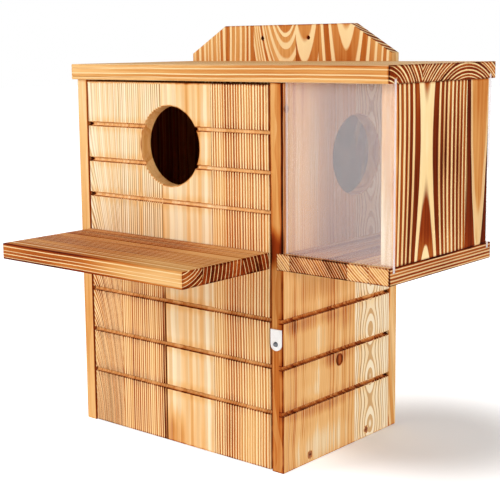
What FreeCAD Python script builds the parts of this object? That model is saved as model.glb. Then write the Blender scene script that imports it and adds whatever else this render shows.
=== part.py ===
import FreeCAD, Part
import Sketcher
import os

# Garden feeder box with a nest chamber and a windowed feeder bin on its right side.
# Origin: middle of the nest box's footprint, on its underside. +Z is up, the door faces -Y.

os.makedirs("parts", exist_ok=True)
doc = FreeCAD.newDocument("feeder_box")

# Driving dimensions, in millimetres

DIMENSIONS = [
    ("nest_width", 260.0, "outer width of the nest box"),
    ("side_depth", 170.0, "side panels, front edge to back panel"),
    ("nest_height", 350.0, "side panels, foot to roof underside"),
    ("board", 13.0, "thickness of the side, back and door boards"),
    ("thick_board", 15.0, "thickness of the roof, floors, platform and outer wall"),
    ("edge_ease", 0.8, "rounding of the sanded board edges"),
    ("door_side_gap", 1.5, "gap at each side of the door"),
    ("door_top_gap", 2.0, "gap between door and roof"),
    ("door_foot_gap", 1.0, "gap under the door"),
    ("door_stop_gap", 0.3, "gap between the shut door and the nest floor"),
    ("pivot_drop", 23.0, "door pivot below the roof underside"),
    ("pivot_radius", 2.0, "shank of a pivot pin"),
    ("pivot_play", 0.05, "radial play of the pin in the door"),
    ("pivot_length", 33.0, "pivot pin, head to tip"),
    ("pivot_end_play", 0.5, "bore in the door past the pin's tip"),
    ("pivot_head_radius", 3.5, "countersunk head of a pivot pin"),
    ("hole_radius", 37.5, "entrance hole and inner passage"),
    ("entrance_shift", -4.0, "entrance centre, sideways from the middle"),
    ("entrance_height", 289.0, "entrance centre above the base"),
    ("passage_setback", 112.5, "passage centre behind the front"),
    ("passage_height", 279.5, "passage centre above the base"),
    ("groove_height", 4.0, "groove at the face of the board"),
    ("groove_floor", 2.0, "groove at its floor"),
    ("groove_depth", 3.0, "depth of a groove"),
    ("lower_groove", 55.0, "lowest groove above the base"),
    ("lower_pitch", 42.5, "spacing of the lower grooves"),
    ("upper_groove", 236.5, "lowest upper groove above the base"),
    ("upper_pitch", 35.0, "spacing of the upper grooves"),
    ("shelf_height", 201.0, "top of the platform and of the feeder floor"),
    ("platform_depth", 112.0, "landing platform, in front of the door"),
    ("feeder_reach", 111.0, "feeder, out from the right side panel"),
    ("feeder_depth", 167.5, "feeder floor, front to back"),
    ("housing_depth", 6.5, "feeder floor let into the side panel"),
    ("window_lip", 4.5, "wood outside each window slot"),
    ("slot_width", 4.0, "window slot"),
    ("slot_depth", 5.0, "window slot"),
    ("wall_setback", 9.0, "outer wall behind the feeder front"),
    ("window_sheet", 3.0, "thickness of a clear window sheet"),
    ("window_ease", 0.3, "rounding of the sheet edges"),
    ("window_foot_play", 0.2, "sheet above the floor of its lower slot"),
    ("window_head_play", 1.0, "sheet below the top of its upper slot"),
    ("window_end_play", 0.3, "sheet clear of the side panel"),
    ("roof_overhang", 4.0, "roof past the left side and the front"),
    ("back_height", 402.0, "back panel with its hanging plate"),
    ("plate_run", 48.0, "sloped corner of the hanging plate, sideways"),
    ("plate_rise", 29.0, "sloped corner of the hanging plate, upwards"),
    ("hanging_height", 388.5, "hanging holes above the base"),
    ("hanging_spacing", 60.0, "hanging holes, centre to centre"),
    ("hanging_radius", 2.0, "hanging holes"),
    ("screw_radius", 1.5, "shank of a wood screw"),
    ("screw_head_radius", 3.0, "countersunk head of a wood screw"),
    ("screw_head_depth", 2.0, "countersunk head, face to shank"),
    ("screw_tip", 4.0, "pointed end of a wood screw"),
    ("screw_length", 30.0, "screws through a board"),
    ("long_screw_length", 35.0, "screws through a thick board"),
    ("short_screw_length", 20.0, "screws through the housed edge"),
    ("floor_screw_spread", 45.5, "floor screws each side of the panel's middle"),
    ("latch_height", 119.5, "latch pivot above the base"),
    ("latch_half_width", 6.0, "latch plate, middle to edge"),
    ("latch_reach", 13.3, "latch plate, pivot to square end"),
    ("latch_sheet", 1.2, "thickness of the latch plate"),
    ("latch_play", 0.05, "latch plate clear of washer and head"),
    ("latch_hole_play", 0.08, "radial play of the plate on its screw"),
    ("washer_radius", 3.5, "washer under the latch plate"),
    ("washer_sheet", 0.5, "thickness of the washer"),
    ("latch_head_radius", 2.4, "head of the latch screw, under its edge"),
    ("latch_crown_radius", 1.7, "head of the latch screw, across its crown"),
    ("latch_head_height", 1.6, "rounded head of the latch screw"),
    ("latch_screw_bite", 15.0, "latch screw inside the wood"),
]

sheet = doc.addObject("Spreadsheet::Sheet", "dims")
sheet.set("A1", "dimension")
sheet.set("B1", "millimetres")
for row, (alias, value, meaning) in enumerate(DIMENSIONS, start=2):
    sheet.set(f"A{row}", meaning)
    sheet.set(f"B{row}", str(value))
    sheet.setAlias(f"B{row}", alias)
doc.recompute()

# Places that many pieces share, as expressions of the driving dimensions

FRONT = "(-(dims.side_depth + dims.board) / 2)"
BACK_BOARD = f"({FRONT} + dims.side_depth)"
REAR_FACE = f"({FRONT} + dims.side_depth + dims.board)"
DOOR_BACK = f"({FRONT} + dims.board)"
LEFT = "(-dims.nest_width / 2)"
RIGHT = "(dims.nest_width / 2)"
SIDE_MIDDLE_X = "(dims.nest_width / 2 - dims.board / 2)"
SHELF_UNDERSIDE = "(dims.shelf_height - dims.thick_board)"
SHELF_MIDDLE = "(dims.shelf_height - dims.thick_board / 2)"
FLOOR_MIDDLE = "(dims.thick_board / 2)"
ROOF_TOP = "(dims.nest_height + dims.thick_board)"
ROOF_MIDDLE = "(dims.nest_height + dims.thick_board / 2)"
OUTER_WALL_MIDDLE_X = f"({RIGHT} + dims.feeder_reach - dims.thick_board / 2)"
PIVOT_HEIGHT = "(dims.nest_height - dims.pivot_drop)"
PIVOT_Y = f"({FRONT} + dims.board / 2)"
DOOR_WIDTH = "(dims.nest_width - 2 * dims.board - 2 * dims.door_side_gap)"
DOOR_HEIGHT = "(dims.nest_height - dims.door_top_gap - dims.door_foot_gap)"
REAR_SLOT = "(dims.feeder_depth - dims.window_lip - dims.slot_width)"
WINDOW_PLAY = "((dims.slot_width - dims.window_sheet) / 2)"


def number(text):
    """The present value of an expression."""
    value = sheet.evalExpression(text)
    return float(getattr(value, "Value", value))


def place(piece, x, y, z):
    """Hold the piece's own origin at this place in the feeder's frame."""
    for axis, text in zip("xyz", (x, y, z)):
        piece.setExpression(f"Placement.Base.{axis}", text)


# Sketches and features of a board

def new_body(name):
    body = doc.addObject("PartDesign::Body", name)
    body.Label = name
    return body


def origin_feature(body, role):
    return next(item for item in body.Origin.OriginFeatures if item.Role == role)


def new_sketch(body, name, role, lift="0"):
    """A sketch on one of the body's origin planes, lifted along the plane's normal."""
    sketch = body.newObject("Sketcher::SketchObject", f"{body.Name}_{name}")
    sketch.AttachmentSupport = [(origin_feature(body, role), "")]
    sketch.MapMode = "FlatFace"
    sketch.setExpression("AttachmentOffset.Base.z", lift)
    return sketch


def hold_point(sketch, geometry, point, x, y):
    """Hold a point of the sketch at two expressions, measured from the origin."""
    for kind, text in (("DistanceX", x), ("DistanceY", y)):
        index = sketch.addConstraint(
            Sketcher.Constraint(kind, -1, 1, geometry, point, number(text)))
        sketch.setExpression(f"Constraints[{index}]", text)


def draw_outline(sketch, corners):
    """A closed outline of straight lines through corners given as pairs of expressions."""
    spots = [FreeCAD.Vector(number(x), number(y), 0) for x, y in corners]
    lines = []
    for start, end in zip(spots, spots[1:] + spots[:1]):
        lines.append(sketch.addGeometry(Part.LineSegment(start, end)))
    for line, following in zip(lines, lines[1:] + lines[:1]):
        sketch.addConstraint(Sketcher.Constraint("Coincident", line, 2, following, 1))
    for line, (x, y) in zip(lines, corners):
        hold_point(sketch, line, 1, x, y)


def draw_rectangle(sketch, left, right, low, high):
    draw_outline(sketch, [(left, low), (right, low), (right, high), (left, high)])


def draw_circle(sketch, x, y, radius):
    centre = FreeCAD.Vector(number(x), number(y), 0)
    circle = sketch.addGeometry(Part.Circle(centre, FreeCAD.Vector(0, 0, 1), number(radius)))
    hold_point(sketch, circle, 3, x, y)
    index = sketch.addConstraint(Sketcher.Constraint("Radius", circle, number(radius)))
    sketch.setExpression(f"Constraints[{index}]", radius)


def pad(body, sketch, thickness, backwards=False):
    feature = body.newObject("PartDesign::Pad", f"{body.Name}_pad")
    feature.Profile = sketch
    feature.setExpression("Length", thickness)
    feature.Reversed = backwards
    return feature


def pocket(body, name, sketch, depth=None, backwards=False):
    """Cut the sketch out of the body, to a depth or else right through both ways."""
    feature = body.newObject("PartDesign::Pocket", f"{body.Name}_{name}")
    feature.Profile = sketch
    feature.Reversed = backwards
    if depth is None:
        feature.Type = "ThroughAll"
        feature.SideType = "Symmetric"
    else:
        feature.setExpression("Length", depth)
    return feature


def repeat_upwards(body, name, feature, pitch, count):
    """Repeat a cut up the board at an even pitch."""
    pattern = body.newObject("PartDesign::LinearPattern", f"{body.Name}_{name}")
    pattern.Originals = [feature]
    pattern.Direction = (origin_feature(body, "Z_Axis"), [""])
    pattern.setExpression("Length", f"{pitch} * {count - 1}")
    pattern.Occurrences = count
    body.Tip = pattern
    return pattern


def ease_edges(body, base, radius="dims.edge_ease"):
    """Round every edge of the sawn board, as sandpaper does."""
    doc.recompute()
    fillet = body.newObject("PartDesign::Fillet", f"{body.Name}_eased")
    fillet.Base = (base, [""])
    fillet.UseAllEdges = True
    fillet.setExpression("Radius", radius)
    doc.recompute()
    return fillet


def plain_board(name, width, depth, height, ease="dims.edge_ease"):
    """A board with no cuts, its own origin at its left, front, lower corner."""
    body = new_body(name)
    outline = new_sketch(body, "outline", "XY_Plane")
    draw_rectangle(outline, "0", width, "0", depth)
    ease_edges(body, pad(body, outline, height), ease)
    return body


def groove_corners(face, floor, height):
    """The section of a groove: wide at the face of the board, narrow at its floor."""
    return [
        (face, f"{height} - dims.groove_height / 2"),
        (floor, f"{height} - dims.groove_floor / 2"),
        (floor, f"{height} + dims.groove_floor / 2"),
        (face, f"{height} + dims.groove_height / 2"),
    ]


def cut_grooves(body, role, face, floor, foot, rows):
    """Three grooves right across the board for each row, one above the other."""
    for name, height, pitch in rows:
        section = new_sketch(body, f"{name}_section", role)
        draw_outline(section, groove_corners(face, floor, f"({height} - {foot})"))
        repeat_upwards(body, f"{name}_grooves", pocket(body, name, section), pitch, 3)


LOWER_GROOVES = ("lower", "dims.lower_groove", "dims.lower_pitch")
UPPER_GROOVES = ("upper", "dims.upper_groove", "dims.upper_pitch")


# Fasteners

def cone(name, low_radius, high_radius, height, lift):
    piece = doc.addObject("Part::Cone", name)
    piece.setExpression("Radius1", low_radius)
    piece.setExpression("Radius2", high_radius)
    piece.setExpression("Height", height)
    piece.setExpression("Placement.Base.z", lift)
    return piece


def cylinder(name, radius, height, lift):
    piece = doc.addObject("Part::Cylinder", name)
    piece.setExpression("Radius", radius)
    piece.setExpression("Height", height)
    piece.setExpression("Placement.Base.z", lift)
    return piece


# A fastener is drawn with its head's face at its origin and its shank along +Z.
TURNS = {
    "+X": FreeCAD.Rotation(FreeCAD.Vector(0, 1, 0), 90),
    "-X": FreeCAD.Rotation(FreeCAD.Vector(0, 1, 0), -90),
    "+Y": FreeCAD.Rotation(FreeCAD.Vector(1, 0, 0), -90),
    "-Y": FreeCAD.Rotation(FreeCAD.Vector(1, 0, 0), 90),
    "+Z": FreeCAD.Rotation(),
    "-Z": FreeCAD.Rotation(FreeCAD.Vector(1, 0, 0), 180),
}


def fused(name, pieces, direction, x, y, z):
    """Join the pieces of one fastener and drive it in along the direction."""
    whole = doc.addObject("Part::MultiFuse", name)
    whole.Shapes = pieces
    whole.Placement.Rotation = TURNS[direction]
    place(whole, x, y, z)
    return whole


def wood_screw(name, length, direction, x, y, z):
    """A countersunk screw with a plain shank and a pointed end."""
    shank_length = f"{length} - dims.screw_head_depth - dims.screw_tip"
    pieces = [
        cone(f"{name}_head", "dims.screw_head_radius", "dims.screw_radius",
             "dims.screw_head_depth", "0"),
        cylinder(f"{name}_shank", "dims.screw_radius", shank_length, "dims.screw_head_depth"),
        cone(f"{name}_tip", "dims.screw_radius", "0", "dims.screw_tip",
             f"{length} - dims.screw_tip"),
    ]
    return fused(name, pieces, direction, x, y, z)


def screw_group(name, length, direction, spots):
    """Like screws as one node, each its own solid."""
    group = doc.addObject("Part::Compound", name)
    group.Label = name
    group.Links = [
        wood_screw(f"{name}_{count}", length, direction, *spot)
        for count, spot in enumerate(spots, start=1)
    ]
    return group


def pivot_pin(name, direction, x):
    """A smooth pin through the side panel into the door's edge."""
    pieces = [
        cone(f"{name}_head", "dims.pivot_head_radius", "dims.pivot_radius",
             "dims.screw_head_depth", "0"),
        cylinder(f"{name}_shank", "dims.pivot_radius",
                 "dims.pivot_length - dims.screw_head_depth", "dims.screw_head_depth"),
    ]
    pin = fused(name, pieces, direction, x, PIVOT_Y, PIVOT_HEIGHT)
    pin.Label = name
    return pin


# Screws down through the roof into both side panels and the feeder's outer wall
ROOF_SCREW_SHARES = (0.24, 0.74)
roof_screws = screw_group("roof_screws", "dims.long_screw_length", "-Z", [
    (x, f"{FRONT} + dims.side_depth * {share}", ROOF_TOP)
    for x in (f"-{SIDE_MIDDLE_X}", SIDE_MIDDLE_X, OUTER_WALL_MIDDLE_X)
    for share in ROOF_SCREW_SHARES
])

# Screws through the back panel into the side panels, the nest floor and the roof
SIDE_SCREW_SHARES = (0.13, 0.5, 0.87)
WIDTH_SCREW_SHARES = (-0.25, 0.25)
back_screws = screw_group("back_screws", "dims.screw_length", "-Y", [
    (x, REAR_FACE, f"dims.nest_height * {share}")
    for x in (f"-{SIDE_MIDDLE_X}", SIDE_MIDDLE_X)
    for share in SIDE_SCREW_SHARES
] + [
    (f"dims.nest_width * {share}", REAR_FACE, height)
    for height in (FLOOR_MIDDLE, ROOF_MIDDLE)
    for share in WIDTH_SCREW_SHARES
])

# Screws through the side panels into the nest floor, two at each end
SIDE_MIDDLE_Y = f"({FRONT} + dims.side_depth / 2)"
floor_screws = doc.addObject("Part::Compound", "floor_screws")
floor_screws.Label = "floor_screws"
floor_screws.Links = [
    wood_screw(f"floor_screw_{side}_{end}", "dims.screw_length", direction, face,
               f"{SIDE_MIDDLE_Y} {sign} dims.floor_screw_spread", FLOOR_MIDDLE)
    for side, direction, face in (("left", "+X", LEFT), ("right", "-X", RIGHT))
    for end, sign in (("front", "-"), ("rear", "+"))
]

# Screws from inside the nest through the door into the platform's rear edge
PLATFORM_SCREW_SHARES = (-0.37, 0, 0.37)
platform_screws = screw_group("platform_screws", "dims.screw_length", "-Y", [
    (f"{DOOR_WIDTH} * {share}", DOOR_BACK, SHELF_MIDDLE) for share in PLATFORM_SCREW_SHARES
])

# Screws from inside the nest through the housed edge into the feeder floor
FEEDER_FLOOR_SCREW_SHARES = (0.18, 0.5, 0.82)
feeder_floor_screws = screw_group("feeder_floor_screws", "dims.short_screw_length", "+X", [
    (f"{RIGHT} - dims.board", f"{FRONT} + dims.feeder_depth * {share}", SHELF_MIDDLE)
    for share in FEEDER_FLOOR_SCREW_SHARES
])

# Screws up through the feeder floor into the outer wall
FEEDER_WALL_SCREW_SHARES = (0.28, 0.72)
feeder_wall_screws = screw_group("feeder_wall_screws", "dims.long_screw_length", "+Z", [
    (OUTER_WALL_MIDDLE_X, f"{FRONT} + dims.feeder_depth * {share}", SHELF_UNDERSIDE)
    for share in FEEDER_WALL_SCREW_SHARES
])

# Pins that the door turns on, driven in through both side panels
door_pivot_left = pivot_pin("door_pivot_left", "+X", LEFT)
door_pivot_right = pivot_pin("door_pivot_right", "-X", RIGHT)


# Latch on the front edge of the right side panel

LATCH_BACK = f"({FRONT} - dims.washer_sheet - dims.latch_play)"
LATCH_FRONT = f"({LATCH_BACK} - dims.latch_sheet)"

latch_head = cone("latch_screw_head", "dims.latch_crown_radius", "dims.latch_head_radius",
                  "dims.latch_head_height", "0")
latch_shank = cylinder(
    "latch_screw_shank", "dims.screw_radius",
    "dims.latch_play * 2 + dims.latch_sheet + dims.washer_sheet + dims.latch_screw_bite"
    " - dims.screw_tip", "dims.latch_head_height")
latch_tip = cone(
    "latch_screw_tip", "dims.screw_radius", "0", "dims.screw_tip",
    "dims.latch_head_height + dims.latch_play * 2 + dims.latch_sheet + dims.washer_sheet"
    " + dims.latch_screw_bite - dims.screw_tip")
latch_screw = fused("latch_screw", [latch_head, latch_shank, latch_tip], "+Y", SIDE_MIDDLE_X,
                    f"{LATCH_FRONT} - dims.latch_play - dims.latch_head_height",
                    "dims.latch_height")
latch_screw.Label = "latch_screw"

latch_washer = new_body("latch_washer")
washer_rings = new_sketch(latch_washer, "rings", "XZ_Plane")
draw_circle(washer_rings, "0", "0", "dims.washer_radius")
draw_circle(washer_rings, "0", "0", "dims.screw_radius + dims.latch_hole_play")
pad(latch_washer, washer_rings, "dims.washer_sheet")
place(latch_washer, SIDE_MIDDLE_X, FRONT, "dims.latch_height")

latch_plate = new_body("latch_plate")
plate_outline = new_sketch(latch_plate, "outline", "XZ_Plane")
half_width = number("dims.latch_half_width")
reach = number("dims.latch_reach")
plate_corners = [FreeCAD.Vector(*spot) for spot in (
    (half_width, 0, 0), (half_width, reach, 0), (-half_width, reach, 0), (-half_width, 0, 0))]
plate_sides = [
    plate_outline.addGeometry(Part.LineSegment(start, end))
    for start, end in zip(plate_corners, plate_corners[1:])
]
round_end = plate_outline.addGeometry(Part.Arc(
    plate_corners[3], FreeCAD.Vector(0, -half_width, 0), plate_corners[0]))
for first, second in zip(plate_sides, plate_sides[1:]):
    plate_outline.addConstraint(Sketcher.Constraint("Coincident", first, 2, second, 1))
plate_outline.addConstraint(Sketcher.Constraint("Coincident", plate_sides[2], 2, round_end, 1))
plate_outline.addConstraint(Sketcher.Constraint("Coincident", round_end, 2, plate_sides[0], 1))
hold_point(plate_outline, plate_sides[0], 1, "dims.latch_half_width", "0")
hold_point(plate_outline, plate_sides[1], 1, "dims.latch_half_width", "dims.latch_reach")
hold_point(plate_outline, plate_sides[2], 1, "-dims.latch_half_width", "dims.latch_reach")
plate_outline.addConstraint(Sketcher.Constraint("Coincident", round_end, 3, -1, 1))
plate_outline.addConstraint(Sketcher.Constraint("PointOnObject", plate_sides[2], 2, -1))
draw_circle(plate_outline, "0", "0", "dims.screw_radius + dims.latch_hole_play")
pad(latch_plate, plate_outline, "dims.latch_sheet")
place(latch_plate, SIDE_MIDDLE_X, LATCH_BACK, "dims.latch_height")


# Boards of the nest box

left_side = new_body("left_side_board")
left_outline = new_sketch(left_side, "outline", "YZ_Plane")
draw_rectangle(left_outline, "0", "dims.side_depth", "0", "dims.nest_height")
ease_edges(left_side, pad(left_side, left_outline, "dims.board"))
place(left_side, LEFT, FRONT, "0")

right_side = new_body("right_side_board")
right_outline = new_sketch(right_side, "outline", "YZ_Plane")
draw_rectangle(right_outline, "0", "dims.side_depth", "0", "dims.nest_height")
draw_circle(right_outline, "dims.passage_setback", "dims.passage_height", "dims.hole_radius")
ease_edges(right_side, pad(right_side, right_outline, "dims.board"))
housing = new_sketch(right_side, "housing_section", "XZ_Plane")
draw_rectangle(housing, "dims.board - dims.housing_depth", "dims.board",
               SHELF_UNDERSIDE, "dims.shelf_height")
pocket(right_side, "housing", housing, "dims.feeder_depth")
cut_grooves(right_side, "XZ_Plane", "dims.board", "dims.board - dims.groove_depth", "0",
            [LOWER_GROOVES])
place(right_side, f"{RIGHT} - dims.board", FRONT, "0")

back_board = new_body("back_board")
back_outline = new_sketch(back_board, "outline", "XZ_Plane")
shoulder = "dims.back_height - dims.plate_rise"
draw_outline(back_outline, [
    ("0", "0"),
    ("dims.nest_width", "0"),
    ("dims.nest_width", shoulder),
    ("dims.nest_width - dims.plate_run", "dims.back_height"),
    ("dims.plate_run", "dims.back_height"),
    ("0", shoulder),
])
ease_edges(back_board, pad(back_board, back_outline, "dims.board", backwards=True))
hanging_holes = new_sketch(back_board, "hanging_rings", "XZ_Plane")
for sign in "-+":
    draw_circle(hanging_holes, f"dims.nest_width / 2 {sign} dims.hanging_spacing / 2",
                "dims.hanging_height", "dims.hanging_radius")
pocket(back_board, "hanging_holes", hanging_holes)
place(back_board, LEFT, BACK_BOARD, "0")

nest_floor_board = plain_board(
    "nest_floor_board", "dims.nest_width - 2 * dims.board",
    "dims.side_depth - dims.board - dims.door_stop_gap", "dims.thick_board")
place(nest_floor_board, f"{LEFT} + dims.board", f"{DOOR_BACK} + dims.door_stop_gap", "0")

roof_blank = new_body("roof_blank")
roof_outline = new_sketch(roof_blank, "outline", "XY_Plane")
ROOF_LENGTH = "(dims.roof_overhang + dims.nest_width + dims.feeder_reach)"
ROOF_DEPTH = "(dims.roof_overhang + dims.side_depth)"
draw_rectangle(roof_outline, "0", ROOF_LENGTH, "0", ROOF_DEPTH)
ease_edges(roof_blank, pad(roof_blank, roof_outline, "dims.thick_board"))
roof_slots = new_sketch(roof_blank, "slots", "XY_Plane")
for start in ("dims.window_lip", REAR_SLOT):
    near_side = f"dims.roof_overhang + {start}"
    draw_rectangle(roof_slots, "dims.roof_overhang + dims.nest_width", ROOF_LENGTH,
                   near_side, f"{near_side} + dims.slot_width")
pocket(roof_blank, "slot_cut", roof_slots, "dims.slot_depth", backwards=True)
place(roof_blank, f"{LEFT} - dims.roof_overhang", f"{FRONT} - dims.roof_overhang",
      "dims.nest_height")


# Door, hung on two pins near its top, and the platform that it carries

door = new_body("door_board")
door_outline = new_sketch(door, "outline", "XZ_Plane")
draw_rectangle(door_outline, "0", DOOR_WIDTH, "0", DOOR_HEIGHT)
draw_circle(door_outline, f"{DOOR_WIDTH} / 2 + dims.entrance_shift",
            "dims.entrance_height - dims.door_foot_gap", "dims.hole_radius")
ease_edges(door, pad(door, door_outline, "dims.board", backwards=True))
cut_grooves(door, "YZ_Plane", "0", "dims.groove_depth", "dims.door_foot_gap",
            [LOWER_GROOVES, UPPER_GROOVES])
PIVOT_BORE_DEPTH = (
    "(dims.pivot_length - dims.board - dims.door_side_gap + dims.pivot_end_play)"
)
for side, lift, backwards in (("left", "0", True), ("right", DOOR_WIDTH, False)):
    bore = new_sketch(door, f"{side}_bore_ring", "YZ_Plane", lift)
    draw_circle(bore, "dims.board / 2", f"{PIVOT_HEIGHT} - dims.door_foot_gap",
                "dims.pivot_radius + dims.pivot_play")
    pocket(door, f"{side}_bore", bore, PIVOT_BORE_DEPTH, backwards)
place(door, f"-{DOOR_WIDTH} / 2", FRONT, "dims.door_foot_gap")

platform_board = plain_board("platform_board", DOOR_WIDTH, "dims.platform_depth",
                             "dims.thick_board")
place(platform_board, f"-{DOOR_WIDTH} / 2", f"{FRONT} - dims.platform_depth", SHELF_UNDERSIDE)


# Feeder bin on the right side

feeder_base = new_body("feeder_base")
base_outline = new_sketch(feeder_base, "outline", "XY_Plane")
BASE_LENGTH = "(dims.housing_depth + dims.feeder_reach)"
draw_rectangle(base_outline, "0", BASE_LENGTH, "0", "dims.feeder_depth")
ease_edges(feeder_base, pad(feeder_base, base_outline, "dims.thick_board"))
base_slots = new_sketch(feeder_base, "slots", "XY_Plane", "dims.thick_board")
for start in ("dims.window_lip", REAR_SLOT):
    draw_rectangle(base_slots, "dims.housing_depth", BASE_LENGTH,
                   start, f"{start} + dims.slot_width")
pocket(feeder_base, "slot_cut", base_slots, "dims.slot_depth")
place(feeder_base, f"{RIGHT} - dims.housing_depth", FRONT, SHELF_UNDERSIDE)

outer_wall_board = plain_board(
    "outer_wall_board", "dims.thick_board", "dims.feeder_depth - 2 * dims.wall_setback",
    "dims.nest_height - dims.shelf_height")
place(outer_wall_board, f"{RIGHT} + dims.feeder_reach - dims.thick_board",
      f"{FRONT} + dims.wall_setback", "dims.shelf_height")

WINDOW_FOOT = "(dims.shelf_height - dims.slot_depth + dims.window_foot_play)"
WINDOW_HEAD = "(dims.nest_height + dims.slot_depth - dims.window_head_play)"
for name, start in (("front_window", "dims.window_lip"), ("rear_window", REAR_SLOT)):
    window = plain_board(name, "dims.feeder_reach - dims.window_end_play", "dims.window_sheet",
                         f"{WINDOW_HEAD} - {WINDOW_FOOT}", "dims.window_ease")
    place(window, f"{RIGHT} + dims.window_end_play", f"{FRONT} + {start} + {WINDOW_PLAY}",
          WINDOW_FOOT)


# Each board is bored by the fasteners that pass into it

def bored(name, board, fasteners):
    tools = doc.addObject("Part::Compound", f"{name}_fasteners")
    tools.Links = fasteners
    node = doc.addObject("Part::Cut", name)
    node.Label = name
    node.Base = board
    node.Tool = tools
    return node


bored("left_side_panel", left_side, [roof_screws, back_screws, floor_screws, door_pivot_left])
bored("right_side_panel", right_side, [roof_screws, back_screws, floor_screws,
                                       door_pivot_right, latch_screw, feeder_floor_screws])
bored("back_panel", back_board, [back_screws])
bored("nest_floor", nest_floor_board, [floor_screws, back_screws])
bored("roof_board", roof_blank, [roof_screws, back_screws])
bored("front_door", door, [platform_screws])
bored("landing_platform", platform_board, [platform_screws])
bored("feeder_floor", feeder_base, [feeder_floor_screws, feeder_wall_screws])
bored("feeder_outer_wall", outer_wall_board, [feeder_wall_screws, roof_screws])

# Node name and the number of separate solids in it
NODES = {
    "left_side_panel": 1, "right_side_panel": 1, "back_panel": 1, "nest_floor": 1,
    "roof_board": 1, "front_door": 1, "landing_platform": 1, "feeder_floor": 1,
    "feeder_outer_wall": 1, "front_window": 1, "rear_window": 1, "latch_plate": 1,
    "latch_screw": 1, "latch_washer": 1, "door_pivot_left": 1, "door_pivot_right": 1,
    "roof_screws": 6, "back_screws": 10, "floor_screws": 4, "platform_screws": 3,
    "feeder_floor_screws": 3, "feeder_wall_screws": 2,
}

doc.recompute()
for item in doc.Objects:
    if {"Invalid", "Error"} & set(item.State):
        raise RuntimeError(f"{item.Name} failed: {item.State}")
for item in doc.Objects:
    if item.TypeId == "PartDesign::Pocket":
        removed = item.BaseFeature.Shape.Volume - item.Shape.Volume
        if removed < 1.0:
            raise RuntimeError(f"{item.Name} cuts nothing")
        print(f"{item.Name} removes {removed:.0f} mm3")

for name, solid_count in NODES.items():
    shape = doc.getObjectsByLabel(name)[0].Shape
    if shape.isNull() or not shape.isValid() or len(shape.Solids) != solid_count:
        raise RuntimeError(f"{name} has {len(shape.Solids)} solids, or a fault")
    shape.exportStep(f"parts/{name}.step")
    box = shape.BoundBox
    print(f"{name}: {shape.Volume:.0f} mm3, X {box.XMin:.1f} to {box.XMax:.1f},"
          f" Y {box.YMin:.1f} to {box.YMax:.1f}, Z {box.ZMin:.1f} to {box.ZMax:.1f}")
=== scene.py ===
import math

import bmesh
import bpy
from mathutils import Color, Euler, Matrix, Vector


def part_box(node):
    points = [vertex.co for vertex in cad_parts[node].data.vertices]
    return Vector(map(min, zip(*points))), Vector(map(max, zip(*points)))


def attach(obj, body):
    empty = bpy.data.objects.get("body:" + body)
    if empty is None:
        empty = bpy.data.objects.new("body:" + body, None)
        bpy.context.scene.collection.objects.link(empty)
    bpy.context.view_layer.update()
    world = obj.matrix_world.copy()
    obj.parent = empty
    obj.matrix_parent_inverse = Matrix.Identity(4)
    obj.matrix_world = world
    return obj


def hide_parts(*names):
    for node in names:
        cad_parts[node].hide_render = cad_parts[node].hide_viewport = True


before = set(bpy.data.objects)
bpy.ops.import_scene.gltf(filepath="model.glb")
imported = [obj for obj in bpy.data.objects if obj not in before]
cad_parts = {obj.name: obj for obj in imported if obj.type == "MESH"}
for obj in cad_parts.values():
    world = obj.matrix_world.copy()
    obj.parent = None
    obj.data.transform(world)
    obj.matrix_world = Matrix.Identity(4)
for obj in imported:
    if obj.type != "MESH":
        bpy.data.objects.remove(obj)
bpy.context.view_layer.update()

# The view stands to the front right, a little above the roof, with a long lens.
# It takes in the door, the bin's side and the end of the landing platform.
CAMERA_PLACE = Vector((0.7488, -0.8693, 0.3820))
CAMERA_TURN = math.radians(-40.90)
CAMERA_TILT = math.radians(8.74)
CAMERA_ROLL = math.radians(0.659)
SENSOR_WIDTH = 36.0
FOCAL_LENGTH = 83.29
SHIFT_ACROSS = 0.0314
SHIFT_UP = -0.0544

ahead = Vector((
    math.sin(CAMERA_TURN) * math.cos(CAMERA_TILT),
    math.cos(CAMERA_TURN) * math.cos(CAMERA_TILT),
    -math.sin(CAMERA_TILT),
))
level = Vector((math.cos(CAMERA_TURN), -math.sin(CAMERA_TURN), 0.0))
below = ahead.cross(level)
rightward = math.cos(CAMERA_ROLL) * level + math.sin(CAMERA_ROLL) * below
downward = math.cos(CAMERA_ROLL) * below - math.sin(CAMERA_ROLL) * level
lens = bpy.data.cameras.new("photograph_lens")
lens.sensor_width = SENSOR_WIDTH
lens.lens = FOCAL_LENGTH
lens.shift_x = SHIFT_ACROSS
lens.shift_y = SHIFT_UP
camera = bpy.data.objects.new("photograph_view", lens)
camera.matrix_world = (
    Matrix.Translation(CAMERA_PLACE)
    @ Matrix((rightward, -downward, -ahead)).transposed().to_4x4()
)
bpy.context.scene.collection.objects.link(camera)
bpy.context.scene.camera = camera
bpy.context.scene.view_settings.view_transform = "Standard"


# The studio is a white floor, with a painted shadow to the right of and behind the object, under one broad
# soft lamp from the upper left, weaker ones from low in front, from the right and from behind, and an even
# white surround.
def feed(tree, socket, value):
    """Sets a socket to a value, or links it to another socket."""
    if isinstance(value, bpy.types.NodeSocket):
        tree.links.new(value, socket)
    else:
        socket.default_value = value


def feed_all(tree, sockets, values):
    """Feeds sockets that are given by name or number."""
    for socket, value in values.items():
        feed(tree, sockets[socket], value)


def add(tree, kind, inputs=None, **settings):
    """A node with its settings and its inputs."""
    node = tree.nodes.new(kind)
    for setting, value in settings.items():
        setattr(node, setting, value)
    feed_all(tree, node.inputs, inputs or {})
    return node


def calc(tree, operation, *values):
    """One sum of two or three numbers."""
    return add(tree, "ShaderNodeMath", dict(enumerate(values)), operation=operation).outputs[0]


def new_material(title):
    """A material, its node tree and the inputs of its Principled shader."""
    material = bpy.data.materials.new(title)
    material.use_nodes = True
    return material, material.node_tree, material.node_tree.nodes["Principled BSDF"].inputs


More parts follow.
